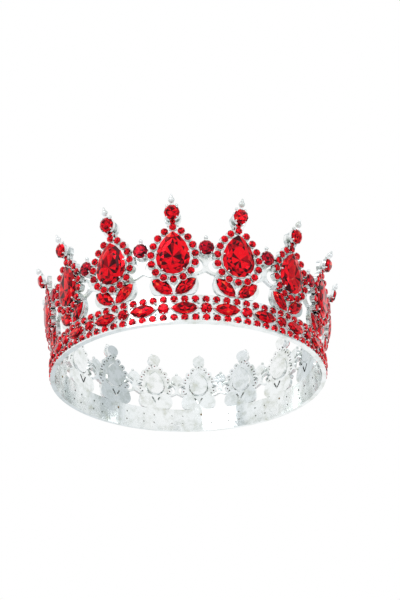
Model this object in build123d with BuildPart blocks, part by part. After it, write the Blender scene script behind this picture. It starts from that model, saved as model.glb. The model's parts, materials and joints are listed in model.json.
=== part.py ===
from build123d import *

import os
from math import atan2, cos, pi, radians, sin, tan

# Full-round crown, standing on its rim: cast gallery panels joined into a ring, a pear
# casting soldered in front of every pair of leaves, and glass stones in their cups.
# The castings are flat plates, as cast, each set square to its own place on the ring.
# Frame: +Z up the crown's axis, origin at the centre of the plane that it stands on.
# Angles run from the front (-Y) towards +X. Lengths are in millimetres.

# ---- layout round the crown
UNITS = 16
UNIT_ANGLE = 360 / UNITS
PANELS = 8
PANEL_ANGLE = 360 / PANELS
UNITS_PER_PANEL = UNITS // PANELS
BAND_REPEAT = 15.0                  # one round and one navette in each repeat of the band
BEAD_STEP = BAND_REPEAT / 4         # small stones of the two border rows
FIRST_ROUND = UNIT_ANGLE / 2
FIRST_NAVETTE = FIRST_ROUND - BAND_REPEAT / 2
SEAM_SHIFT = -1.33                  # the band's joint runs between a round and a navette

# ---- wall
INNER_RADIUS = 60.4
WALL = 1.5
FACE_RADIUS = INNER_RADIUS + WALL   # front face of the band
BAND_HEIGHT = 12.0
SCREEN_ROOT = 0.25                  # the leaf plates run this far down into the band
RIM_HEIGHT = 0.7
RIM_PROUD = 0.55
LEAN = 9.0                          # the castings above the band lean out
BAY_PROUD = 0.3                     # a bridge stands out to meet the leaf plates beside it

# ---- stones and cups
SMALL = 2.8
ROUND = 4.4
BRIDGE = 6.0
TOP = 6.0
NAVETTE_LONG = 10.0
NAVETTE_WIDE = 4.8
PEAR_WIDE = 13.0
PEAR_LONG = 18.0
TABLE_SHARE = 0.55                  # table width over stone width
CULET_SHARE = 0.45
CLEARANCE = 0.02                    # stone to cup, all round
COLLAR = 0.28                       # wall of a cup
WIDE_COLLAR = 0.25
PEAR_COLLAR = 0.4
NAVETTE_COLLAR = 0.45               # the same wall, measured at a navette's tips
COLLAR_ROOT = 0.8                   # how far a collar is rooted in the wall behind it

# ---- band rows, as heights of stone centres
ROW_LOW = 2.0
ROW_MIDDLE = 6.0
ROW_HIGH = 10.0
PIERCE_RADIUS = 0.45
PIERCE_ASIDE = 2.95
PIERCE_ABOVE = 2.15

# ---- leaves, on the plate: aside from the unit's middle, and up from the band's top edge
LEAF_ASIDE = 4.5
LEAF_UP = 3.45
LEAF_TURN = 37.0
LOBE_ASIDE = 5.1
LOBE_UP = 4.25
LOBE_RADIUS = 4.45
TAB_ASIDE = 7.6
TAB_UP = 8.0
TAB_RADIUS = 1.3
BLOCK_UP = 8.3
SLIT_ASIDE = 1.1
SLIT_UP = 5.1
SLIT_LONG = 4.6
SLIT_WIDE = 0.9
SLIT_TURN = 61.0

# ---- scrolls and bridge between two pears
SCROLL_ASIDE = 4.0
SCROLL_UP = 12.45
SCROLL_RADIUS = 4.05
SCROLL_WIRE = 1.0
SCROLL_REACH = 4.5
CUSP_UP = 10.0
CUSP_SPREAD = 2.4
STEM_WIDE = 1.7
BRIDGE_UP = 19.2

# ---- pear casting, its plate lies on the front of the leaf plate
PLATE = 1.6
PEAR_UP = 8.1                       # the stone's lowest point
PEAR_RADIUS = PEAR_WIDE / 2
PEAR_RISE = PEAR_LONG - PEAR_RADIUS
PEAR_CENTRE = PEAR_UP + PEAR_RADIUS
FLANK = (PEAR_RADIUS**2 + PEAR_RISE**2) / (2 * PEAR_RADIUS)
FLANK_TURN = atan2(PEAR_RISE, FLANK - PEAR_RADIUS)
HALO_STONES = 16
HALO_OFFSET = 2.3
WEB_OFFSET = 1.2
BACK_INSET = 1.0
BACK_BULGE = 0.9
DISC_UP = 33.0
DISC_RADIUS = 3.45
NECK_WIDE = 2.6
NECK_STONE = 2.2
NECK_STONE_UP = 31.0
NUB_ASIDE = 1.9
NUB_UP = 29.9
NUB_RADIUS = 0.6
POST_RADIUS = 0.85
SHOULDER_GAP = (4.4, 24.9)

# ---- top stone and bud, which lean further out than the plate
TOP_LEAN = 20.0
TOP_HEIGHT = 44.9
TOP_AXIS_RADIUS = 70.9
TOP_CUP_RADIUS = TOP / 2 + WIDE_COLLAR
BUD_LEAN = 32.0
SOLDER_HEIGHT = 9.0
FROM_FLOOR = (Align.CENTER, Align.CENTER, Align.MIN)


# ---------------------------------------------------------------- places
def tangent_plane(angle, radius, height, lean=0.0):
    """Plane facing out of the crown: x to the viewer's right, y up, z outward."""
    out = Vector(sin(radians(angle)), -cos(radians(angle)), 0)
    aside = Vector(cos(radians(angle)), sin(radians(angle)), 0)
    normal = out * cos(radians(lean)) - Vector(0, 0, 1) * sin(radians(lean))
    return Plane(origin=out * radius + Vector(0, 0, height), x_dir=aside, z_dir=normal)


def unit_plane(unit):
    """Front of the leaf plate under one pear; its origin is on the band's top edge."""
    return tangent_plane(unit * UNIT_ANGLE, FACE_RADIUS, BAND_HEIGHT, LEAN)


def bay_plane(bay):
    """Front of the scroll plate between two pears."""
    return tangent_plane((bay + 0.5) * UNIT_ANGLE, FACE_RADIUS + BAY_PROUD, BAND_HEIGHT, LEAN)


def placed(plane, x, y):
    """Location on a plane, z out of it."""
    return plane.location * Location((x, y, 0))


def band_places(count, first, step, height):
    """Evenly spaced locations on the band's front."""
    planes = [tangent_plane(first + step * i, FACE_RADIUS, height) for i in range(count)]
    return [plane.location for plane in planes]


def mirrored(x, y, turn=0.0):
    """A place on a plane and its mirror image, turned in the plane the other way."""
    return [Location((side * x, y, 0), side * turn) for side in (-1, 1)]


# ---------------------------------------------------------------- outlines
def navette(length, width):
    """Boat shape of two arcs, long side on x."""
    with BuildSketch() as outline:
        with BuildLine():
            ThreePointArc((-length / 2, 0), (0, width / 2), (length / 2, 0))
            ThreePointArc((length / 2, 0), (0, -width / 2), (-length / 2, 0))
        make_face()
    return outline.sketch


def pear(grow=0.0):
    """Drop shape, point up, about its round end's centre and grown all round."""
    low = PEAR_RADIUS + grow
    side = FLANK + grow
    tip = (side**2 - (FLANK - PEAR_RADIUS) ** 2) ** 0.5
    half = atan2(tip, FLANK - PEAR_RADIUS) / 2
    bend = (side * cos(half) - (FLANK - PEAR_RADIUS), side * sin(half))
    with BuildSketch() as outline:
        with BuildLine():
            ThreePointArc((-low, 0), (0, -low), (low, 0))
            ThreePointArc((low, 0), bend, (0, tip))
            ThreePointArc((0, tip), (-bend[0], bend[1]), (-low, 0))
        make_face()
    return outline.sketch


def halo_point(step):
    """Centre of a halo stone on the plate; step 0 is the lowest, the half ring is full at the top."""
    low = PEAR_RADIUS + HALO_OFFSET
    side = FLANK + HALO_OFFSET
    low_run = low * pi / 2
    side_run = side * FLANK_TURN
    half_round = low_run + side_run + HALO_OFFSET * (pi / 2 - FLANK_TURN)
    way = half_round * step / (HALO_STONES / 2)
    if way <= low_run:
        turn = way / low
        return low * sin(turn), PEAR_CENTRE - low * cos(turn)
    if way <= low_run + side_run:
        turn = (way - low_run) / side
        return side * cos(turn) - (FLANK - PEAR_RADIUS), PEAR_CENTRE + side * sin(turn)
    turn = FLANK_TURN + (way - low_run - side_run) / HALO_OFFSET
    return HALO_OFFSET * cos(turn), PEAR_CENTRE + PEAR_RISE + HALO_OFFSET * sin(turn)


def halo_points():
    """All halo stones of one pear, both sides."""
    half = HALO_STONES // 2
    right = [halo_point(step) for step in range(half + 1)]
    left = [(-x, y) for x, y in right[1:half]]
    return right + left


# ---------------------------------------------------------------- stones
def round_stone(width, culet, girdle, rim, table):
    """Round stone about z; the heights are its culet's, girdle's and table's."""
    radius = width / 2
    with BuildPart() as stone:
        with BuildSketch(Plane.XZ):
            with BuildLine():
                Polyline(
                    (0, culet),
                    (radius * CULET_SHARE, culet),
                    (radius, girdle),
                    (radius, girdle + rim),
                    (radius * TABLE_SHARE, table),
                    (0, table),
                    close=True,
                )
            make_face()
        revolve(axis=Axis.Z)
    return stone.part


def shaped_stone(outline, culet, girdle, rim, table):
    """Stone of any outline, sloped in to a table in front and a culet behind."""
    with BuildPart() as stone:
        with BuildSketch(Plane.XY.offset(culet)):
            add(scale(outline, by=CULET_SHARE, mode=Mode.PRIVATE))
        with BuildSketch(Plane.XY.offset(girdle)):
            add(outline)
        loft()
        with BuildSketch(Plane.XY.offset(girdle)):
            add(outline)
        extrude(amount=rim)
        with BuildSketch(Plane.XY.offset(girdle + rim)):
            add(outline)
        with BuildSketch(Plane.XY.offset(table)):
            add(scale(outline, by=TABLE_SHARE, mode=Mode.PRIVATE))
        loft()
    return stone.part


def keep(piece, name):
    """Label a finished piece and write it."""
    piece.part.label = name
    export_step(piece.part, f"parts/{name}.step")


def keep_group(stone, places, name):
    """One node holding the same stone at many places, each a solid of its own."""
    with BuildPart() as group:
        with Locations(*places):
            add(stone)
    keep(group, name)


# ---------------------------------------------------------------- gallery panel
def band_ring(face, low, high, first_angle, sweep):
    """Part of the band between two heights: one small flat for every border stone."""
    cut = face / cos(radians(BEAD_STEP / 2))
    back = INNER_RADIUS / cos(radians(BEAD_STEP / 2))
    flats = int(360 / BEAD_STEP)
    reach = face + 20
    ends = [(reach * sin(radians(a)), -reach * cos(radians(a))) for a in (first_angle, first_angle + sweep)]
    with BuildPart() as ring:
        with BuildSketch(Plane.XY.offset(low)):
            RegularPolygon(cut, flats, rotation=BEAD_STEP / 2)
            RegularPolygon(back, flats, rotation=BEAD_STEP / 2, mode=Mode.SUBTRACT)
            with BuildLine(mode=Mode.PRIVATE) as sector:
                Polyline((0, 0), ends[0], ends[1], close=True)
            add(make_face(sector.edges(), mode=Mode.PRIVATE), mode=Mode.INTERSECT)
        extrude(amount=high - low)
    return ring.part


def leaf_ground():
    """Ground behind the two leaves under one pear, with the slit between them."""
    with BuildSketch() as ground:
        with Locations(*mirrored(LOBE_ASIDE, LOBE_UP)):
            Circle(LOBE_RADIUS)
        with Locations(*mirrored(LEAF_ASIDE, LEAF_UP, turn=LEAF_TURN)):
            add(navette(NAVETTE_LONG + 1.6, NAVETTE_WIDE + 1.2))
        with Locations(*mirrored(TAB_ASIDE, TAB_UP)):
            Circle(TAB_RADIUS)
        Rectangle(LOBE_ASIDE * 2, BLOCK_UP, align=(Align.CENTER, Align.MIN))
        with Locations(*mirrored(SLIT_ASIDE, SLIT_UP, turn=SLIT_TURN)):
            SlotOverall(SLIT_LONG, SLIT_WIDE, mode=Mode.SUBTRACT)
        Rectangle(40, BLOCK_UP * 2, align=(Align.CENTER, Align.MIN), mode=Mode.INTERSECT)
    return ground.sketch


def scroll_ground():
    """Scroll pair, stem and bridge disc between two pears."""
    foot = SCROLL_UP - SCROLL_RADIUS + 0.4
    with BuildSketch() as ground:
        with Locations(*mirrored(SCROLL_ASIDE, SCROLL_UP)):
            Circle(SCROLL_RADIUS)
        with BuildLine():
            Polyline(
                (-CUSP_SPREAD, foot),
                (0, CUSP_UP),
                (CUSP_SPREAD, foot),
                (0.9, SCROLL_UP),
                (-0.9, SCROLL_UP),
                close=True,
            )
        make_face()
        with Locations(*mirrored(SCROLL_ASIDE, SCROLL_UP)):
            Circle(SCROLL_RADIUS - SCROLL_WIRE, mode=Mode.SUBTRACT)
        with Locations((0, (SCROLL_UP + BRIDGE_UP) / 2)):
            Rectangle(STEM_WIDE, BRIDGE_UP - SCROLL_UP)
        with Locations((0, BRIDGE_UP)):
            Circle(BRIDGE / 2 - 0.3)
            Rectangle(SCROLL_REACH * 2, 60, mode=Mode.INTERSECT)
    return ground.sketch


def leaf_screen():
    """Leaf plate of one unit with the raised frames and pockets of its two leaves."""
    leaves = mirrored(LEAF_ASIDE, LEAF_UP, turn=LEAF_TURN)
    with BuildPart() as plate:
        with BuildSketch(Plane.XY.offset(-WALL)):
            add(leaf_ground())
            with Locations((0, -SCREEN_ROOT * 2)):
                Rectangle(LOBE_ASIDE * 2, 1.0, align=(Align.CENTER, Align.MIN))
        extrude(amount=WALL)
        with BuildSketch(Plane.XY.offset(-COLLAR_ROOT)):
            with Locations(*leaves):
                add(navette(NAVETTE_LONG + 2 * NAVETTE_COLLAR, NAVETTE_WIDE + 2 * COLLAR))
        extrude(amount=COLLAR_ROOT + 0.4)
        with BuildSketch(Plane.XY.offset(-0.4)):
            with Locations(*leaves):
                add(navette(NAVETTE_LONG + 4 * CLEARANCE, NAVETTE_WIDE + 2 * CLEARANCE))
        extrude(amount=2.0, mode=Mode.SUBTRACT)
    return plate.part


def bridge_screen():
    """Scroll plate with the deep cup of the bridge stone and a bud on top."""
    with BuildPart() as plate:
        with BuildSketch(Plane.XY.offset(-WALL)):
            add(scroll_ground())
        extrude(amount=WALL)
        with Locations((0, BRIDGE_UP, -1.2)):
            Cylinder(BRIDGE / 2 + WIDE_COLLAR, 3.2, align=FROM_FLOOR)
        with Locations((0, BRIDGE_UP + 3.7, 0.8)):
            Sphere(0.72)
        with Locations((0, BRIDGE_UP + 4.9, 0.9)):
            Sphere(0.85)
        with Locations((0, BRIDGE_UP, 0.4)):
            Cylinder(BRIDGE / 2 + CLEARANCE, 3.0, align=FROM_FLOOR, mode=Mode.SUBTRACT)
    return plate.part


def gallery_panel():
    """Cast panel over two units: band, leaf plates, scrolls and the cups of their stones."""
    rounds = int(PANEL_ANGLE / BAND_REPEAT)
    beads = int(PANEL_ANGLE / BEAD_STEP)
    bead_spots = band_places(beads, 0, BEAD_STEP, ROW_LOW) + band_places(beads, 0, BEAD_STEP, ROW_HIGH)
    round_spots = band_places(rounds, FIRST_ROUND, BAND_REPEAT, ROW_MIDDLE)
    navette_spots = band_places(rounds, FIRST_NAVETTE, BAND_REPEAT, ROW_MIDDLE)
    root = Pos(0, 0, -COLLAR_ROOT)
    leaf_plate = leaf_screen()
    bridge_plate = bridge_screen()

    # the leaf plates are shared out at the units' middles, their roots at the band's joints
    root_height = BAND_HEIGHT - SCREEN_ROOT
    with BuildPart() as sector:
        add(band_ring(FACE_RADIUS + 10, BAND_HEIGHT, BAND_HEIGHT + 40, 0, PANEL_ANGLE))
        add(band_ring(FACE_RADIUS + 10, root_height, BAND_HEIGHT, SEAM_SHIFT, PANEL_ANGLE))

    with BuildPart() as screen:
        for unit in range(UNITS_PER_PANEL + 1):
            with Locations(unit_plane(unit).location):
                add(leaf_plate)
        for bay in range(UNITS_PER_PANEL):
            with Locations(bay_plane(bay).location):
                add(bridge_plate)
        add(sector.part, mode=Mode.INTERSECT)

    with BuildPart() as panel:
        add(band_ring(FACE_RADIUS, 0, BAND_HEIGHT, SEAM_SHIFT, PANEL_ANGLE))
        add(band_ring(FACE_RADIUS + RIM_PROUD, 0, RIM_HEIGHT, SEAM_SHIFT, PANEL_ANGLE))
        with Locations(*[spot * root for spot in bead_spots]):
            Cylinder(SMALL / 2 + COLLAR, COLLAR_ROOT + 0.35, align=FROM_FLOOR)
        with Locations(*[spot * root for spot in round_spots]):
            Cylinder(ROUND / 2 + WIDE_COLLAR, COLLAR_ROOT + 0.45, align=FROM_FLOOR)
        for spot in navette_spots:
            with BuildSketch(Plane(spot * root)):
                add(navette(NAVETTE_LONG + 2 * NAVETTE_COLLAR, NAVETTE_WIDE + 2 * WIDE_COLLAR))
            extrude(amount=COLLAR_ROOT + 0.45)
        add(band_ring(FACE_RADIUS + 5, 0, BAND_HEIGHT, SEAM_SHIFT, PANEL_ANGLE), mode=Mode.INTERSECT)
        with Locations(*[spot * Pos(0, 0, -0.5) for spot in bead_spots]):
            Cylinder(SMALL / 2 + CLEARANCE, 3.0, align=FROM_FLOOR, mode=Mode.SUBTRACT)
        with Locations(*[spot * Pos(0, 0, -0.6) for spot in round_spots]):
            Cylinder(ROUND / 2 + CLEARANCE, 3.0, align=FROM_FLOOR, mode=Mode.SUBTRACT)
        for spot in navette_spots:
            with BuildSketch(Plane(spot * Pos(0, 0, -0.6))):
                add(navette(NAVETTE_LONG + 4 * CLEARANCE, NAVETTE_WIDE + 2 * CLEARANCE))
            extrude(amount=3.0, mode=Mode.SUBTRACT)
        # pierced dots between a round and the navettes beside it
        corners = mirrored(PIERCE_ASIDE, PIERCE_ABOVE) + mirrored(PIERCE_ASIDE, -PIERCE_ABOVE)
        with Locations(*[spot * corner for spot in round_spots for corner in corners]):
            Cylinder(PIERCE_RADIUS, 6.0, mode=Mode.SUBTRACT)
        add(screen.part)
    return panel.part


# ---------------------------------------------------------------- pear casting
def plate_outline():
    """Outline of the pear casting's plate: web, halo cups, neck, nubs and backing disc."""
    neck_foot = PEAR_CENTRE + PEAR_RISE
    with BuildSketch() as outline:
        with Locations((0, PEAR_CENTRE)):
            add(pear(WEB_OFFSET))
        with Locations(*halo_points()):
            Circle(SMALL / 2 + COLLAR)
        with Locations((0, (neck_foot + DISC_UP) / 2)):
            Rectangle(NECK_WIDE, DISC_UP - neck_foot)
        with Locations((0, DISC_UP)):
            Circle(DISC_RADIUS)
        with Locations(*mirrored(NUB_ASIDE, NUB_UP)):
            Circle(NUB_RADIUS)
    return outline.sketch


def bud():
    """Turned bud about y, standing on the origin."""
    with BuildPart() as turned:
        with BuildSketch():
            with BuildLine():
                Polyline((0, -0.5), (0.95, -0.5), (0.7, 1.0), (1.15, 1.7))
                ThreePointArc((1.15, 1.7), (1.35, 2.3), (1.05, 3.0))
                Polyline((1.05, 3.0), (0.5, 3.9), (0.42, 4.5), (0, 4.75), (0, -0.5))
            make_face()
        revolve(axis=Axis.Y)
    return turned.part


def spire_casting():
    """Pear cup with its halo of small cups, backing disc, top cup on a post, and bud."""
    plate_from_top = unit_plane(0).location.inverse()
    top_spot = plate_from_top * tangent_plane(0, TOP_AXIS_RADIUS, TOP_HEIGHT, TOP_LEAN).location
    bud_spot = top_spot * Location((0, 3.0, 0.1), (BUD_LEAN - TOP_LEAN, 0, 0))
    leaves = mirrored(LEAF_ASIDE, LEAF_UP, turn=LEAF_TURN)
    turned_bud = bud()
    with BuildPart() as casting:
        with BuildSketch():
            add(plate_outline())
        extrude(amount=PLATE)
        # back of the pear cup, and its raised wall
        with BuildSketch(Plane.XY.offset(-BACK_BULGE)):
            with Locations((0, PEAR_CENTRE)):
                add(pear(-BACK_INSET))
        extrude(amount=BACK_BULGE + 0.2)
        chamfer(casting.faces().sort_by(Axis.Z)[0].edges(), 0.6)
        with BuildSketch():
            with Locations((0, PEAR_CENTRE)):
                add(pear(PEAR_COLLAR))
        extrude(amount=2.3)
        with Locations(*[(x, y, PLATE - COLLAR_ROOT) for x, y in halo_points()]):
            Cylinder(SMALL / 2 + COLLAR, COLLAR_ROOT + 0.5, align=FROM_FLOOR)
        with Locations((0, NECK_STONE_UP, PLATE - COLLAR_ROOT)):
            Cylinder(NECK_STONE / 2 + COLLAR, COLLAR_ROOT + 0.5, align=FROM_FLOOR)
        # post, top cup with two side leaves, bud
        with Locations((0, DISC_UP, PLATE - 0.5)):
            Cylinder(POST_RADIUS, 2.3, align=FROM_FLOOR)
        with Locations(top_spot * Pos(0, 0, -0.7)):
            Cylinder(TOP_CUP_RADIUS, 1.4, align=FROM_FLOOR)
        with Locations(*[top_spot * Pos(side * 1.95, 3.05, 0.1) for side in (-1, 1)]):
            Sphere(0.7)
        with Locations(bud_spot):
            add(turned_bud)
        # pockets
        with BuildSketch(Plane.XY.offset(0.35)):
            with Locations((0, PEAR_CENTRE)):
                add(pear(CLEARANCE))
        extrude(amount=4, mode=Mode.SUBTRACT)
        with Locations(*[(x, y, 1.25) for x, y in halo_points()]):
            Cylinder(SMALL / 2 + CLEARANCE, 1.2, align=FROM_FLOOR, mode=Mode.SUBTRACT)
        with Locations((0, NECK_STONE_UP, 1.25)):
            Cylinder(NECK_STONE / 2 + CLEARANCE, 3.0, align=FROM_FLOOR, mode=Mode.SUBTRACT)
        with Locations(top_spot * Pos(0, 0, -0.3)):
            Cylinder(TOP / 2 + CLEARANCE, 3.0, align=FROM_FLOOR, mode=Mode.SUBTRACT)
        # vents behind the small stones, and gaps at the pear's shoulders
        with Locations(*halo_points()):
            Cylinder(0.4, 3.0, mode=Mode.SUBTRACT)
        with Locations(*mirrored(*SHOULDER_GAP)):
            Cylinder(0.5, 5.0, mode=Mode.SUBTRACT)
        # room for the leaves, whose upper edges run under the lowest halo cups
        with BuildSketch(Plane.XY.offset(-0.5)):
            with Locations(*leaves):
                add(navette(NAVETTE_LONG + 2 * NAVETTE_COLLAR + 0.2, NAVETTE_WIDE + 2 * COLLAR + 0.1))
        extrude(amount=1.7, mode=Mode.SUBTRACT)
    return casting.part


# ---------------------------------------------------------------- solder
def solder_bead():
    """Flattened bead of solder, flat on z = 0."""
    with BuildPart() as bead:
        with Locations((0, 0, -0.42)):
            Sphere(0.7)
        split(bisect_by=Plane.XY, keep=Keep.TOP)
    return bead.part


# ---------------------------------------------------------------- build and write
def main():
    os.makedirs("parts", exist_ok=True)

    panel = gallery_panel()
    for i in range(PANELS):
        with BuildPart() as piece:
            add(panel, rotation=(0, 0, i * PANEL_ANGLE))
        keep(piece, f"gallery_panel_{i + 1}")

    casting = spire_casting()
    pear_stone = shaped_stone(pear(), 0.35, 2.0, 0.3, 3.7)
    for i in range(UNITS):
        with BuildPart() as piece:
            with Locations(unit_plane(i).location):
                add(casting)
        keep(piece, f"spire_casting_{i + 1:02d}")
        with BuildPart() as piece:
            with Locations(placed(unit_plane(i), 0, PEAR_CENTRE)):
                add(pear_stone)
        keep(piece, f"pear_stone_{i + 1:02d}")

    units = [unit_plane(i) for i in range(UNITS)]
    bays = [bay_plane(i) for i in range(UNITS)]
    repeats = int(360 / BAND_REPEAT)
    beads = int(360 / BEAD_STEP)

    halo_stone = round_stone(SMALL, 1.25, 1.8, 0.3, 2.75)
    keep_group(halo_stone, [placed(u, x, y) for u in units for x, y in halo_points()], "halo_stones")
    neck_stone = round_stone(NECK_STONE, 1.25, 1.7, 0.25, 2.5)
    keep_group(neck_stone, [placed(u, 0, NECK_STONE_UP) for u in units], "neck_stones")

    tops = [tangent_plane(i * UNIT_ANGLE, TOP_AXIS_RADIUS, TOP_HEIGHT, TOP_LEAN) for i in range(UNITS)]
    keep_group(round_stone(TOP, -0.3, 0.5, 0.4, 1.9), [top.location for top in tops], "top_stones")
    bridge_stone = round_stone(BRIDGE, 0.4, 1.7, 0.4, 2.9)
    keep_group(bridge_stone, [placed(bay, 0, BRIDGE_UP) for bay in bays], "bridge_stones")

    leaf_stone = shaped_stone(navette(NAVETTE_LONG, NAVETTE_WIDE), -0.4, 0.2, 0.25, 1.3)
    leaf_spots = [u.location * leaf for u in units for leaf in mirrored(LEAF_ASIDE, LEAF_UP, turn=LEAF_TURN)]
    keep_group(leaf_stone, leaf_spots, "leaf_navettes")

    band_navette = shaped_stone(navette(NAVETTE_LONG, NAVETTE_WIDE), -0.6, 0.2, 0.3, 1.55)
    keep_group(band_navette, band_places(repeats, FIRST_NAVETTE, BAND_REPEAT, ROW_MIDDLE), "band_navettes")
    band_round = round_stone(ROUND, -0.6, 0.2, 0.3, 1.6)
    keep_group(band_round, band_places(repeats, FIRST_ROUND, BAND_REPEAT, ROW_MIDDLE), "band_round_stones")

    border_stone = round_stone(SMALL, -0.5, 0.1, 0.25, 1.05)
    keep_group(border_stone, band_places(beads, 0, BEAD_STEP, ROW_LOW), "lower_row_stones")
    keep_group(border_stone, band_places(beads, 0, BEAD_STEP, ROW_HIGH), "upper_row_stones")

    aside = INNER_RADIUS * tan(radians(SEAM_SHIFT))
    flats = [tangent_plane(i * PANEL_ANGLE, INNER_RADIUS, SOLDER_HEIGHT) for i in range(PANELS)]
    seams = [flat.location * Location((aside, 0, 0), (0, 180, 0)) for flat in flats]
    keep_group(solder_bead(), seams, "seam_solder")


main()
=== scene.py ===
import json
from math import atan2, cos, pi, radians, sin

import bmesh
import bpy
from mathutils import Matrix, Vector

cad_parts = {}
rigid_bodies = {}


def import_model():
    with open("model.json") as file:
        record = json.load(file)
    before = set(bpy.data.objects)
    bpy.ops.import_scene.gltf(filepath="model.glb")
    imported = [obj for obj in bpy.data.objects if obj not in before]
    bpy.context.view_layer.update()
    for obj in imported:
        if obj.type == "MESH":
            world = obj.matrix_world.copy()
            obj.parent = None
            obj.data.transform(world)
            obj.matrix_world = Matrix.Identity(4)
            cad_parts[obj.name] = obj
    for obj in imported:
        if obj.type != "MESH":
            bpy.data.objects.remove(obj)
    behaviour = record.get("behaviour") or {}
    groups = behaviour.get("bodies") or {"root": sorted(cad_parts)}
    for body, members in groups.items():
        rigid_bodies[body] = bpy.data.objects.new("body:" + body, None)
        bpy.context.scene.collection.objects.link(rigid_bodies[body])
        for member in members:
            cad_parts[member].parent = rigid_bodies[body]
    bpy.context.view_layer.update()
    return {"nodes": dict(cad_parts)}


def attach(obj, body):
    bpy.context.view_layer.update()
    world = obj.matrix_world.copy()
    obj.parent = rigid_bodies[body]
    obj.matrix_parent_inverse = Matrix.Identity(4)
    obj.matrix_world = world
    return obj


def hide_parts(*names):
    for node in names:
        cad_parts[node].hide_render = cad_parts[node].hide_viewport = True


# Rhinestone crown: silver-plated castings, red foil-backed glass stones in pronged cups.
# Frame: +Z up the crown's axis, -Y out through the front pear, origin at the rim's centre.

# ---- layout, the same numbers as the castings, in metres
MM = 0.001
UNITS = 16
UNIT_ANGLE = 22.5
BAND_REPEAT = 15.0
BEAD_STEP = 3.75
FIRST_ROUND = 11.25
FIRST_NAVETTE = 3.75
FACE_RADIUS = 61.9
BAND_HEIGHT = 12.0
LEAN = 9.0
BAY_PROUD = 0.3
ROW_LOW, ROW_MIDDLE, ROW_HIGH = 2.0, 6.0, 10.0
LEAF_ASIDE, LEAF_UP, LEAF_TURN = 4.5, 3.45, 37.0
BRIDGE_UP = 19.2
NECK_STONE_UP = 31.0
PEAR_RADIUS, PEAR_LONG, PEAR_CENTRE = 6.5, 18.0, 14.6
PEAR_RISE = PEAR_LONG - PEAR_RADIUS
FLANK = (PEAR_RADIUS**2 + PEAR_RISE**2) / (2 * PEAR_RADIUS)
FLANK_TURN = atan2(PEAR_RISE, FLANK - PEAR_RADIUS)
HALO_STONES, HALO_OFFSET = 16, 2.3
TOP_LEAN, TOP_HEIGHT, TOP_RADIUS = 20.0, 44.9, 70.9

CAMERA_ROLL = -1.25

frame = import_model()


# ---------------------------------------------------------------- places
def tangent(angle, radius, height, lean=0.0):
    """Matrix of a plane facing out of the crown: x to the right, y up, z outward."""
    a, t = radians(angle), radians(lean)
    out = Vector((sin(a), -cos(a), 0))
    aside = Vector((cos(a), sin(a), 0))
    normal = out * cos(t) - Vector((0, 0, 1)) * sin(t)
    up = normal.cross(aside)
    m = Matrix((aside, up, normal)).transposed().to_4x4()
    m.translation = out * radius + Vector((0, 0, height))
    return m


def unit_plane(i):
    return tangent(i * UNIT_ANGLE, FACE_RADIUS, BAND_HEIGHT, LEAN)


def bay_plane(i):
    return tangent((i + 0.5) * UNIT_ANGLE, FACE_RADIUS + BAY_PROUD, BAND_HEIGHT, LEAN)


def spot(x, y, z=0.0, turn=0.0):
    return Matrix.Translation((x, y, z)) @ Matrix.Rotation(radians(turn), 4, "Z")


def halo_point(step):
    low, side = PEAR_RADIUS + HALO_OFFSET, FLANK + HALO_OFFSET
    low_run, side_run = low * pi / 2, side * FLANK_TURN
    half_round = low_run + side_run + HALO_OFFSET * (pi / 2 - FLANK_TURN)
    way = half_round * step / (HALO_STONES / 2)
    if way <= low_run:
        turn = way / low
        return low * sin(turn), PEAR_CENTRE - low * cos(turn)
    if way <= low_run + side_run:
        turn = (way - low_run) / side
        return side * cos(turn) - (FLANK - PEAR_RADIUS), PEAR_CENTRE + side * sin(turn)
    turn = FLANK_TURN + (way - low_run - side_run) / HALO_OFFSET
    return HALO_OFFSET * cos(turn), PEAR_CENTRE + PEAR_RISE + HALO_OFFSET * sin(turn)


HALF = [halo_point(step) for step in range(HALO_STONES // 2 + 1)]
HALO = HALF + [(-x, y) for x, y in HALF[1 : HALO_STONES // 2]]

units = [unit_plane(i) for i in range(UNITS)]
bays = [bay_plane(i) for i in range(UNITS)]
leaf_spots = [u @ spot(s * LEAF_ASIDE, LEAF_UP, 0, s * LEAF_TURN) for u in units for s in (-1, 1)]
halo_spots = [u @ spot(x, y, 1.0, 37 * n) for u in units for n, (x, y) in enumerate(HALO)]
neck_spots = [u @ spot(0, NECK_STONE_UP, 1.0) for u in units]
bridge_spots = [b @ spot(0, BRIDGE_UP) for b in bays]
top_spots = [tangent(i * UNIT_ANGLE, TOP_RADIUS, TOP_HEIGHT, TOP_LEAN) for i in range(UNITS)]
round_spots = [tangent(FIRST_ROUND + BAND_REPEAT * i, FACE_RADIUS, ROW_MIDDLE) for i in range(24)]
navette_spots = [tangent(FIRST_NAVETTE + BAND_REPEAT * i, FACE_RADIUS, ROW_MIDDLE) for i in range(24)]
low_spots = [tangent(BEAD_STEP * i, FACE_RADIUS, ROW_LOW) @ spot(0, 0, 0, 29 * i) for i in range(96)]
high_spots = [tangent(BEAD_STEP * i, FACE_RADIUS, ROW_HIGH) @ spot(0, 0, 0, 41 * i) for i in range(96)]


# ---------------------------------------------------------------- colours and nodes
def rgb(hex_text):
    """sRGB hex to linear colour."""
    parts = [int(hex_text[i : i + 2], 16) / 255 for i in (1, 3, 5)]
    return [c / 12.92 if c <= 0.04045 else ((c + 0.055) / 1.055) ** 2.4 for c in parts] + [1.0]


def node(tree, kind, values=None, **settings):
    """Adds a node, sets its properties and the constants on its sockets."""
    n = tree.nodes.new(kind)
    for key, value in settings.items():
        setattr(n, key, value)
    for key, value in (values or {}).items():
        n.inputs[key].default_value = value
    return n


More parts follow.
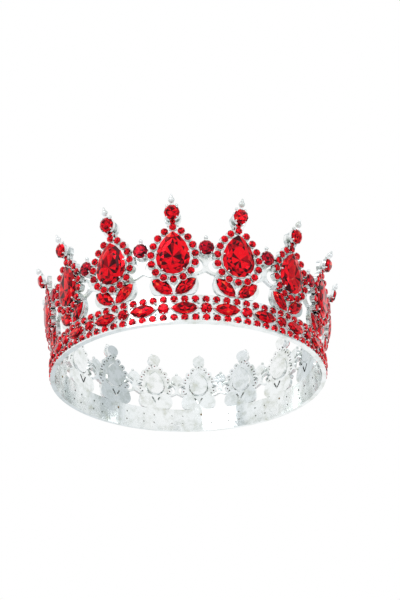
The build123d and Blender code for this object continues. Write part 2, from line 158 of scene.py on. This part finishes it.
def ramp(tree, factor, stops, interpolation="LINEAR"):
    n = node(tree, "ShaderNodeValToRGB")
    n.color_ramp.interpolation = interpolation
    while len(n.color_ramp.elements) < len(stops):
        n.color_ramp.elements.new(0.5)
    for element, (place, colour) in zip(n.color_ramp.elements, stops):
        element.position = place
        element.color = rgb(colour) if isinstance(colour, str) else [colour] * 3 + [1.0]
    tree.links.new(factor, n.inputs["Fac"])
    return n.outputs["Color"]


def new_material(name):
    mat = bpy.data.materials.new(name)
    mat.use_nodes = True
    tree = mat.node_tree
    return mat, tree, tree.nodes["Principled BSDF"]


# Silver plate over cast zinc: mirror bright, with the slight waviness and grain of the casting;
# painted shade that darkens the hollows to a grey-green, and patches where the plate has dulled a little.
def silver_plate(name, tint, dull, wave_mm, hollow_shade_colour):
    mat, tree, bsdf = new_material(name)
    where = node(tree, "ShaderNodeTexCoord").outputs["Object"]
    wave = node(tree, "ShaderNodeTexNoise", {"Scale": 1 / (wave_mm * MM), "Detail": 2.0, "Roughness": 0.5})
    grain = node(tree, "ShaderNodeTexNoise", {"Scale": 1 / (0.35 * MM), "Detail": 3.0, "Roughness": 0.6})
    tree.links.new(where, wave.inputs["Vector"])
    tree.links.new(where, grain.inputs["Vector"])
    # painted shade: ambient occlusion mixes the hollows towards the grey-green shade colour
    hollow = node(tree, "ShaderNodeAmbientOcclusion", {"Distance": 1.8 * MM}, samples=8, only_local=True)
    unshaded_share = ramp(tree, hollow.outputs["AO"], [(0.1, 0.0), (0.6, 1.0)])
    mottle = node(tree, "ShaderNodeTexNoise", {"Scale": 1 / (5.0 * MM), "Detail": 5.0, "Roughness": 0.65})
    tree.links.new(where, mottle.inputs["Vector"])
    worn = ramp(tree, mottle.outputs["Fac"], [(0.46, tint), (0.6, "#E0E4E1"), (0.74, "#CBCDBF")])
    mix = node(tree, "ShaderNodeMix", data_type="RGBA")
    mix.inputs[6].default_value = rgb(hollow_shade_colour)
    tree.links.new(worn, mix.inputs[7])
    tree.links.new(unshaded_share, mix.inputs[0])
    tree.links.new(mix.outputs[2], bsdf.inputs["Base Color"])
    rough = node(tree, "ShaderNodeMapRange", {"To Min": dull * 0.75, "To Max": dull * 1.3})
    tree.links.new(grain.outputs["Fac"], rough.inputs["Value"])
    tree.links.new(rough.outputs["Result"], bsdf.inputs["Roughness"])
    bump = node(tree, "ShaderNodeBump", {"Strength": 0.5, "Distance": 0.06 * MM * wave_mm})
    fine = node(tree, "ShaderNodeBump", {"Strength": 0.3, "Distance": 0.012 * MM})
    tree.links.new(wave.outputs["Fac"], bump.inputs["Height"])
    tree.links.new(grain.outputs["Fac"], fine.inputs["Height"])
    tree.links.new(bump.outputs["Normal"], fine.inputs["Normal"])
    tree.links.new(fine.outputs["Normal"], bsdf.inputs["Normal"])
    bsdf.inputs["Metallic"].default_value = 1.0
    return mat


# Foil-backed glass rhinestone: every facet gets a painted reflection of the foil behind it, a level from
# wine dark to bright red, and a painted pink highlight on a few facets, under a hard polished front.
def foiled_glass(name, dark, middle, bright, painted_glint, glint_share, cell_mm=1.1):
    mat, tree, bsdf = new_material(name)
    facet = node(tree, "ShaderNodeAttribute", attribute_name="facet").outputs["Fac"]
    stone = node(tree, "ShaderNodeAttribute", attribute_name="stone").outputs["Fac"]
    where = node(tree, "ShaderNodeTexCoord").outputs["Object"]
    reflection_cells = node(tree, "ShaderNodeTexVoronoi", {"Scale": 1 / (cell_mm * MM), "Randomness": 1.0})
    tree.links.new(where, reflection_cells.inputs["Vector"])
    blend = node(tree, "ShaderNodeMath", {1: 0.32}, operation="MULTIPLY")
    tree.links.new(reflection_cells.outputs["Color"], blend.inputs[0])
    both = node(tree, "ShaderNodeMath", {1: 0.74}, operation="MULTIPLY")
    tree.links.new(facet, both.inputs[0])
    total = node(tree, "ShaderNodeMath", operation="ADD")
    tree.links.new(blend.outputs[0], total.inputs[0])
    tree.links.new(both.outputs[0], total.inputs[1])
    shift = node(tree, "ShaderNodeMath", {1: 0.08}, operation="MULTIPLY")
    tree.links.new(stone, shift.inputs[0])
    level = node(tree, "ShaderNodeMath", operation="SUBTRACT")
    tree.links.new(total.outputs[0], level.inputs[0])
    tree.links.new(shift.outputs[0], level.inputs[1])
    # painted reflection: facet and cell levels run dark to bright red; the top stop is a painted highlight
    stops = [(0.22, dark), (0.42, middle), (0.6, bright), (0.9 - glint_share, bright), (0.96 - glint_share, painted_glint)]
    colour = ramp(tree, level.outputs[0], stops)
    tree.links.new(colour, bsdf.inputs["Base Color"])
    tree.links.new(colour, bsdf.inputs["Emission Color"])
    bsdf.inputs["Emission Strength"].default_value = 0.0
    bsdf.inputs["Metallic"].default_value = 0.9
    bsdf.inputs["Roughness"].default_value = 0.16
    bsdf.inputs["Coat Weight"].default_value = 0.12
    bsdf.inputs["Coat Roughness"].default_value = 0.02
    bsdf.inputs["Coat IOR"].default_value = 1.6
    return mat


# the last colour of each is the painted shade in the hollows
gallery_silver = silver_plate("silver_plated_zinc_gallery", "#F2F5F5", 0.13, 1.8, "#8F958D")
spire_silver = silver_plate("silver_plated_zinc_pear_casting", "#F4F6F6", 0.11, 1.5, "#989E97")
prong_silver = silver_plate("silver_plated_prongs", "#F6F7F7", 0.10, 1.2, "#BCC0BC")
# the fourth colour of each is a painted highlight
pear_glass = foiled_glass("foiled_red_glass_pear", "#38000A", "#A80014", "#F2041C", "#FF5A4A", 0.02, 2.4)
small_glass = foiled_glass("foiled_red_glass_small", "#52000C", "#B80016", "#F6051E", "#FF5058", 0.0)
top_glass = foiled_glass("foiled_red_glass_top", "#48000C", "#B00015", "#F4041D", "#FF6A4A", 0.04)
bridge_glass = foiled_glass("foiled_dark_red_glass", "#30000E", "#78001A", "#C40424", "#F04860", 0.0)
navette_glass = foiled_glass("foiled_red_glass_navette", "#4C000B", "#BC0016", "#FA051E", "#FF5C38", 0.05)


def solder_metal():
    # Lead-free solder left on the inside of the joints: dull, yellowish brown from the flux.
    mat, tree, bsdf = new_material("browned_solder")
    where = node(tree, "ShaderNodeTexCoord").outputs["Object"]
    stain = node(tree, "ShaderNodeTexNoise", {"Scale": 1 / (0.6 * MM), "Detail": 3.0})
    tree.links.new(where, stain.inputs["Vector"])
    colour = ramp(tree, stain.outputs["Fac"], [(0.35, "#7A5A34"), (0.65, "#B49A72")])
    tree.links.new(colour, bsdf.inputs["Base Color"])
    bsdf.inputs["Metallic"].default_value = 0.85
    bsdf.inputs["Roughness"].default_value = 0.38
    return mat


solder = solder_metal()


# ---------------------------------------------------------------- stones
def object_from(name, bm):
    mesh = bpy.data.meshes.new(name)
    bm.to_mesh(mesh)
    bm.free()
    made = bpy.data.objects.new(name, mesh)
    bpy.context.scene.collection.objects.link(made)
    return made


def cut_stone(name, outline, levels):
    """Faceted stone: rings of the outline at (share, height), alternate rings half a step on."""
    bm = bmesh.new()
    count = len(outline)
    rings = []
    for number, (share, height) in enumerate(levels):
        ring = []
        for k in range(count):
            x, y = outline[k]
            if number % 2:
                nx, ny = outline[(k + 1) % count]
                x, y = (x + nx) / 2, (y + ny) / 2
            ring.append(bm.verts.new((x * share * MM, y * share * MM, height * MM)))
        rings.append(ring)
    for number, (low, high) in enumerate(zip(rings, rings[1:])):
        for k in range(count):
            if number % 2:
                bm.faces.new((low[k], high[(k + 1) % count], high[k]))
                bm.faces.new((low[k], low[(k + 1) % count], high[(k + 1) % count]))
            else:
                bm.faces.new((low[k], low[(k + 1) % count], high[k]))
                bm.faces.new((low[(k + 1) % count], high[(k + 1) % count], high[k]))
    # the table shows the wedges of the cut behind it
    middle = bm.verts.new((0, 0, levels[-1][1] * MM))
    for k in range(count):
        bm.faces.new((rings[-1][k], rings[-1][(k + 1) % count], middle))
    bm.faces.new(list(reversed(rings[0])))
    bm.normal_update()
    made = object_from(name, bm)
    made.hide_render = True
    return made


def circle(radius, count):
    return [(radius * cos(2 * pi * k / count), radius * sin(2 * pi * k / count)) for k in range(count)]


def navette_outline(length, width, per_side):
    """Boat shape, long side on x."""
    radius = (length**2 / 4 + width**2 / 4) / width
    half = atan2(length / 2, radius - width / 2)
    points = []
    for k in range(per_side):
        t = half - 2 * half * k / per_side
        points.append((-radius * sin(-t), radius * cos(t) - (radius - width / 2)))
    return points[::-1] + [(-x, -y) for x, y in points[::-1]]


def pear_outline(count_low, count_side):
    """Drop, point up, about the round end's centre; counter-clockwise from the left."""
    points = [(PEAR_RADIUS * cos(pi + pi * k / count_low), PEAR_RADIUS * sin(pi + pi * k / count_low))
              for k in range(count_low + 1)]
    right = []
    for k in range(1, count_side):
        t = FLANK_TURN * k / count_side
        right.append((FLANK * cos(t) - (FLANK - PEAR_RADIUS), FLANK * sin(t)))
    return points + right + [(0, PEAR_RISE)] + [(-x, y) for x, y in right[::-1]]


def prong(name, length, width, thick):
    """Small rounded claw along +Z with its tip bent towards -X."""
    bm = bmesh.new()
    rings = []
    profile = [(0.0, 0.0, 1.0), (0.0, 0.45, 1.0), (-0.1, 0.75, 0.95), (-0.32, 0.95, 0.8), (-0.55, 1.0, 0.45)]
    for lean, height, size in profile:
        ring = []
        for k in range(6):
            a = 2 * pi * k / 6
            ring.append(bm.verts.new((
                (lean * thick * 2 + cos(a) * thick / 2 * size) * MM,
                sin(a) * width / 2 * size * MM,
                height * length * MM)))
        rings.append(ring)
    for low, high in zip(rings, rings[1:]):
        for k in range(6):
            bm.faces.new((low[k], low[(k + 1) % 6], high[(k + 1) % 6], high[k]))
    bm.faces.new(rings[-1])
    bm.faces.new(list(reversed(rings[0])))
    for face in bm.faces:
        face.smooth = True
    made = object_from(name, bm)
    made.hide_render = True
    return made


def point_cloud(name, places):
    """One vertex for every place, with its rotation kept as an attribute."""
    mesh = bpy.data.meshes.new(name)
    mesh.from_pydata([m.translation * MM for m in places], [], [])
    turn = mesh.attributes.new("turn", "FLOAT_VECTOR", "POINT")
    for k, m in enumerate(places):
        turn.data[k].vector = m.to_euler("XYZ")
    made = bpy.data.objects.new(name, mesh)
    bpy.context.scene.collection.objects.link(made)
    return made


def setting_tree():
    """Sets one shape on every point, tilts and varies it a little, and marks stone and facet."""
    tree = bpy.data.node_groups.new("stone_setting", "GeometryNodeTree")
    face = tree.interface
    face.new_socket("Geometry", in_out="INPUT", socket_type="NodeSocketGeometry")
    face.new_socket("Shape", in_out="INPUT", socket_type="NodeSocketObject")
    face.new_socket("Finish", in_out="INPUT", socket_type="NodeSocketMaterial")
    face.new_socket("Tilt", in_out="INPUT", socket_type="NodeSocketFloat")
    face.new_socket("Seed", in_out="INPUT", socket_type="NodeSocketInt")
    face.new_socket("Geometry", in_out="OUTPUT", socket_type="NodeSocketGeometry")
    given = node(tree, "NodeGroupInput")
    info = node(tree, "GeometryNodeObjectInfo", {"As Instance": True})
    turn = node(tree, "GeometryNodeInputNamedAttribute", {"Name": "turn"}, data_type="FLOAT_VECTOR")
    setter = node(tree, "GeometryNodeInstanceOnPoints")
    wobble = node(tree, "FunctionNodeRandomValue", data_type="FLOAT_VECTOR")
    low = node(tree, "ShaderNodeMath", {1: -1.0}, operation="MULTIPLY")
    tilt = node(tree, "GeometryNodeRotateInstances")
    pick = node(tree, "FunctionNodeRandomValue", data_type="FLOAT")
    keep_stone = node(tree, "GeometryNodeStoreNamedAttribute", {"Name": "stone"}, domain="INSTANCE")
    real = node(tree, "GeometryNodeRealizeInstances")
    face_pick = node(tree, "FunctionNodeRandomValue", data_type="FLOAT")
    keep_facet = node(tree, "GeometryNodeStoreNamedAttribute", {"Name": "facet"}, domain="FACE")
    paint = node(tree, "GeometryNodeSetMaterial")
    out = node(tree, "NodeGroupOutput")
    link = tree.links.new
    link(given.outputs["Shape"], info.inputs["Object"])
    link(given.outputs["Geometry"], setter.inputs["Points"])
    link(info.outputs["Geometry"], setter.inputs["Instance"])
    link(turn.outputs["Attribute"], setter.inputs["Rotation"])
    link(given.outputs["Tilt"], low.inputs[0])
    link(low.outputs[0], wobble.inputs["Min"])
    link(given.outputs["Tilt"], wobble.inputs["Max"])
    link(given.outputs["Seed"], wobble.inputs["Seed"])
    link(given.outputs["Seed"], pick.inputs["Seed"])
    link(given.outputs["Seed"], face_pick.inputs["Seed"])
    link(setter.outputs["Instances"], tilt.inputs["Instances"])
    link(wobble.outputs["Value"], tilt.inputs["Rotation"])
    link(tilt.outputs["Instances"], keep_stone.inputs["Geometry"])
    link(pick.outputs[1], keep_stone.inputs["Value"])
    link(keep_stone.outputs["Geometry"], real.inputs["Geometry"])
    link(real.outputs["Geometry"], keep_facet.inputs["Geometry"])
    link(face_pick.outputs[1], keep_facet.inputs["Value"])
    link(keep_facet.outputs["Geometry"], paint.inputs["Geometry"])
    link(given.outputs["Finish"], paint.inputs["Material"])
    link(paint.outputs["Geometry"], out.inputs["Geometry"])
    return tree


SETTING = setting_tree()
SOCKETS = {s.name: s.identifier for s in SETTING.interface.items_tree if s.in_out == "INPUT"}


def set_pieces(name, shape, places, finish, tilt=0.0, seed=1):
    """Plain mesh of one shape at many places."""
    cloud = point_cloud(name + "_points", places)
    modifier = cloud.modifiers.new("setting", "NODES")
    modifier.node_group = SETTING
    modifier[SOCKETS["Shape"]] = shape
    modifier[SOCKETS["Finish"]] = finish
    modifier[SOCKETS["Tilt"]] = radians(tilt)
    modifier[SOCKETS["Seed"]] = seed
    cloud.update_tag()
    graph = bpy.context.evaluated_depsgraph_get()
    graph.update()
    mesh = bpy.data.meshes.new_from_object(cloud.evaluated_get(graph))
    mesh.name = name
    made = bpy.data.objects.new(name, mesh)
    bpy.context.scene.collection.objects.link(made)
    bpy.data.objects.remove(cloud)
    return made


def stones(name, shape, places, finish, nodes, tilt=1.5, seed=1):
    made = set_pieces(name, shape, places, finish, tilt, seed)
    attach(made, "root")
    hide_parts(*nodes)
    return made


# Stones rest on the collars of their cups. A cut is given by the heights of its culet and girdle,
# the girdle's thickness and the table's height, each above the plane that the cup stands on.
def round_cut_levels(culet, girdle, rim, table):
    """Rings of a stone as share of the outline and height."""
    top = girdle + rim
    return [(0.45, culet), (1.0, girdle), (1.0, top), (0.80, top + (table - top) * 0.62), (0.58, table)]


small_cut = cut_stone("cut_small", circle(1.54, 8), round_cut_levels(0.3, 1.12, 0.2, 1.85))
border_cut = cut_stone("cut_border", circle(1.54, 8), round_cut_levels(-0.45, 0.37, 0.2, 1.15))
neck_cut = cut_stone("cut_neck", circle(1.2, 8), round_cut_levels(0.3, 1.0, 0.2, 1.6))
round_cut = cut_stone("cut_round", circle(2.36, 8), round_cut_levels(-0.5, 0.47, 0.25, 1.75))
bridge_cut = cut_stone("cut_bridge", circle(3.14, 10), round_cut_levels(0.5, 2.02, 0.3, 3.15))
top_cut = cut_stone("cut_top", circle(3.14, 10), round_cut_levels(-0.25, 0.72, 0.3, 2.05))
boat = navette_outline(10.5, 5.2, 5)
navette_cut = cut_stone("cut_navette", boat, round_cut_levels(-0.5, 0.47, 0.25, 1.7))
leaf_cut = cut_stone("cut_leaf", boat, round_cut_levels(-0.35, 0.42, 0.2, 1.45))
PEAR_LEVELS = [(0.45, 0.4), (1.03, 2.32), (1.03, 2.6), (0.86, 3.05), (0.72, 3.5), (0.56, 3.8)]
pear_cut = cut_stone("cut_pear", pear_outline(8, 4), PEAR_LEVELS)

pear_names = [f"pear_stone_{i + 1:02d}" for i in range(UNITS)]
pear_spots = [u @ spot(0, PEAR_CENTRE) for u in units]
for i in range(UNITS):
    stones(pear_names[i] + "_cut", pear_cut, [pear_spots[i]], pear_glass, [pear_names[i]],
           0.6, 11 + i)
stones("halo_cut", small_cut, halo_spots, small_glass, ["halo_stones"], 2.5, 3)
stones("neck_cut", neck_cut, neck_spots, small_glass, ["neck_stones"], 2.5, 4)
stones("top_cut", top_cut, top_spots, top_glass, ["top_stones"], 1.5, 5)
stones("bridge_cut", bridge_cut, bridge_spots, bridge_glass, ["bridge_stones"], 1.5, 6)
stones("leaf_cut", leaf_cut, leaf_spots, navette_glass, ["leaf_navettes"], 1.2, 7)
stones("band_navette_cut", navette_cut, navette_spots, navette_glass, ["band_navettes"],
       1.2, 8)
stones("band_round_cut", round_cut, round_spots, small_glass, ["band_round_stones"], 2.0, 9)
stones("lower_row_cut", border_cut, low_spots, small_glass, ["lower_row_stones"], 2.5, 10)
stones("upper_row_cut", border_cut, high_spots, small_glass, ["upper_row_stones"], 2.5, 12)


# ---------------------------------------------------------------- prongs
def around(radius, count, first, z):
    """Places on a circle, each turned so that its -X points at the centre."""
    made = []
    for k in range(count):
        a = first + 360 * k / count
        made.append(Matrix.Rotation(radians(a), 4, "Z") @ Matrix.Translation((radius, 0, z)))
    return made


small_prong = prong("claw_small", 0.75, 0.5, 0.3)
large_prong = prong("claw_large", 1.05, 0.7, 0.38)
pear_prong = prong("claw_pear", 1.5, 0.85, 0.45)

small_claws = [s @ p for s in halo_spots for p in around(1.5, 4, 45, 0.65)]
small_claws += [s @ p for s in low_spots + high_spots for p in around(1.5, 4, 45, 0.05)]
small_claws += [s @ p for s in neck_spots for p in around(1.2, 4, 45, 0.5)]
large_claws = [s @ p for s in round_spots for p in around(2.35, 4, 0, 0.1)]
large_claws += [s @ p for s in top_spots for p in around(3.1, 4, 45, 0.45)]
large_claws += [s @ p for s in bridge_spots for p in around(3.1, 4, 45, 1.5)]
for s in navette_spots + leaf_spots:
    for side in (0, 180):
        large_claws.append(s @ Matrix.Rotation(radians(side), 4, "Z") @ Matrix.Translation((4.95, 0, -0.05)))
# round the pear: tip, shoulders and two below, each with the way that it faces
PEAR_CLAWS = [
    (0, 11.832, 90),
    (6.477, 2.244, 8),
    (-6.477, 2.244, 172),
    (4.386, -5.1, -50),
    (-4.386, -5.1, 230),
]
pear_claws = []
for s in pear_spots:
    for x, y, turn in PEAR_CLAWS:
        pear_claws.append(s @ spot(x, y, 1.55, turn))

for name, shape, places, slot, seed in (
    ("small_claws", small_prong, small_claws, "pear_casting_metal", 21),
    ("large_claws", large_prong, large_claws, "gallery_metal", 22),
    ("pear_claws", pear_prong, pear_claws, "pear_casting_metal", 23),
):
    claws = set_pieces(name, shape, places, prong_silver, 4.0, seed)
    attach(claws, "root")

for helper in [o for o in bpy.data.objects if o.name.startswith(("cut_", "claw_"))]:
    bpy.data.objects.remove(helper)


# ---------------------------------------------------------------- castings
def finish_casting(obj, finish, angle):
    obj.data.materials.clear()
    obj.data.materials.append(finish)
    weld = obj.modifiers.new("weld", "WELD")
    weld.merge_threshold = 0.004 * MM
    smooth = bpy.data.node_groups.get("smooth_by_angle") or smooth_tree(angle)
    modifier = obj.modifiers.new("smooth", "NODES")
    modifier.node_group = smooth


def smooth_tree(angle):
    """Smooth shading except over edges sharper than the angle."""
    tree = bpy.data.node_groups.new("smooth_by_angle", "GeometryNodeTree")
    tree.interface.new_socket("Geometry", in_out="INPUT", socket_type="NodeSocketGeometry")
    tree.interface.new_socket("Geometry", in_out="OUTPUT", socket_type="NodeSocketGeometry")
    given = node(tree, "NodeGroupInput")
    edge = node(tree, "GeometryNodeInputMeshEdgeAngle")
    sharp = node(tree, "FunctionNodeCompare", {1: radians(angle)}, data_type="FLOAT", operation="LESS_EQUAL")
    faces = node(tree, "GeometryNodeSetShadeSmooth", domain="FACE")
    edges = node(tree, "GeometryNodeSetShadeSmooth", domain="EDGE")
    out = node(tree, "NodeGroupOutput")
    tree.links.new(given.outputs[0], faces.inputs["Geometry"])
    tree.links.new(edge.outputs["Unsigned Angle"], sharp.inputs[0])
    tree.links.new(faces.outputs[0], edges.inputs["Geometry"])
    tree.links.new(sharp.outputs[0], edges.inputs["Shade Smooth"])
    tree.links.new(edges.outputs[0], out.inputs[0])
    return tree


for name, obj in frame["nodes"].items():
    if name.startswith("gallery_panel"):
        finish_casting(obj, gallery_silver, 32)
    elif name.startswith("spire_casting"):
        finish_casting(obj, spire_silver, 32)
    elif name == "seam_solder":
        finish_casting(obj, solder, 32)


# ---------------------------------------------------------------- stage, light, camera
def stage_floor():
    """Plain pale floor that the crown stands on; clear from below and right under the rim."""
    mesh = bpy.data.meshes.new("floor")
    r = 8.0
    low = -0.0001
    corners = [(-r, -r, low), (r, -r, low), (r, r, low), (-r, r, low)]
    mesh.from_pydata(corners, [], [(0, 1, 2, 3)])
    floor = bpy.data.objects.new("floor", mesh)
    bpy.context.scene.collection.objects.link(floor)
    mat, tree, bsdf = new_material("matt_white_board")
    bsdf.inputs["Base Color"].default_value = rgb("#F4F5F6")
    bsdf.inputs["Roughness"].default_value = 0.7
    clear = node(tree, "ShaderNodeBsdfTransparent")
    mix = node(tree, "ShaderNodeMixShader")
    side = node(tree, "ShaderNodeNewGeometry")
    path = node(tree, "ShaderNodeLightPath")
    near = node(tree, "ShaderNodeMath", {1: 0.004}, operation="LESS_THAN")
    hidden = node(tree, "ShaderNodeMath", operation="MAXIMUM")
    out = tree.nodes["Material Output"]
    tree.links.new(path.outputs["Ray Length"], near.inputs[0])
    tree.links.new(side.outputs["Backfacing"], hidden.inputs[0])
    tree.links.new(near.outputs[0], hidden.inputs[1])
    tree.links.new(hidden.outputs[0], mix.inputs[0])
    tree.links.new(bsdf.outputs[0], mix.inputs[1])
    tree.links.new(clear.outputs[0], mix.inputs[2])
    tree.links.new(mix.outputs[0], out.inputs["Surface"])
    floor.data.materials.append(mat)


def area_light(name, place, target, size, watts, colour="#FFFFFF"):
    data = bpy.data.lights.new(name, "AREA")
    data.shape = "DISK"
    data.size = size
    data.energy = watts
    data.color = rgb(colour)[:3]
    light = bpy.data.objects.new(name, data)
    bpy.context.scene.collection.objects.link(light)
    light.location = place
    light.rotation_euler = (Vector(target) - Vector(place)).to_track_quat("-Z", "Y").to_euler()


stage_floor()

world = bpy.data.worlds.new("studio")
bpy.context.scene.world = world
world.use_nodes = True
tree = world.node_tree
background = tree.nodes["Background"]
# soft tent: bright all round with darker strips, so that polished metal has something to show
direction = node(tree, "ShaderNodeTexCoord").outputs["Generated"]
split = node(tree, "ShaderNodeSeparateXYZ")
tree.links.new(direction, split.inputs[0])
around_turn = node(tree, "ShaderNodeMath", operation="ARCTAN2")
tree.links.new(split.outputs[0], around_turn.inputs[0])
tree.links.new(split.outputs[1], around_turn.inputs[1])
stripes = node(tree, "ShaderNodeMath", {1: 3.0}, operation="MULTIPLY")
tree.links.new(around_turn.outputs[0], stripes.inputs[0])
wave = node(tree, "ShaderNodeMath", operation="SINE")
tree.links.new(stripes.outputs[0], wave.inputs[0])
tone = node(tree, "ShaderNodeMapRange", {"From Min": -1.0, "From Max": 1.0})
tree.links.new(wave.outputs[0], tone.inputs["Value"])
TENT = [(0.0, "#C6CDD0"), (0.14, "#E0E5E8"), (0.34, "#FAFCFD"), (1.0, "#FFFFFF")]
tent = ramp(tree, tone.outputs["Result"], TENT)
plain = node(tree, "ShaderNodeLightPath")
choose = node(tree, "ShaderNodeMix", data_type="RGBA")
tree.links.new(plain.outputs["Is Camera Ray"], choose.inputs[0])
tree.links.new(tent, choose.inputs[6])
choose.inputs[7].default_value = [1.0, 1.0, 1.0, 1.0]
tree.links.new(choose.outputs[2], background.inputs["Color"])
background.inputs["Strength"].default_value = 1.0

area_light("key", (-0.35, -0.75, 0.45), (0, 0, 0.02), 0.5, 1.1)
area_light("fill", (0.7, -0.5, -0.1), (0, 0, 0.02), 0.6, 0.8, "#F2F6FF")
area_light("below", (0.05, -0.45, -0.55), (0, 0, 0.02), 0.5, 0.6)
area_light("inside", (0.0, -0.05, -0.5), (0, 0.06, 0.02), 0.5, 0.22)

cam_data = bpy.data.cameras.new("camera")
cam_data.sensor_fit = "VERTICAL"
cam_data.sensor_height = 36.0
cam_data.lens = 36.08
cam_data.clip_start = 0.01
cam_data.clip_end = 10.0
camera = bpy.data.objects.new("camera", cam_data)
bpy.context.scene.collection.objects.link(camera)
forward = Vector((-0.0541, 0.8548, 0.5162)).normalized()
right = forward.cross(Vector((0, 0, 1))).normalized()
up = right.cross(forward)
c, s = cos(radians(CAMERA_ROLL)), sin(radians(CAMERA_ROLL))
right2 = right * c + up * s
up2 = up * c - right * s
view = Matrix((right2, up2, -forward)).transposed().to_4x4()
view.translation = Vector((0.0222, -0.2569, -0.1086))
camera.matrix_world = view
bpy.context.scene.camera = camera
scene = bpy.context.scene
scene.view_settings.view_transform = "Standard"
scene.view_settings.look = "None"
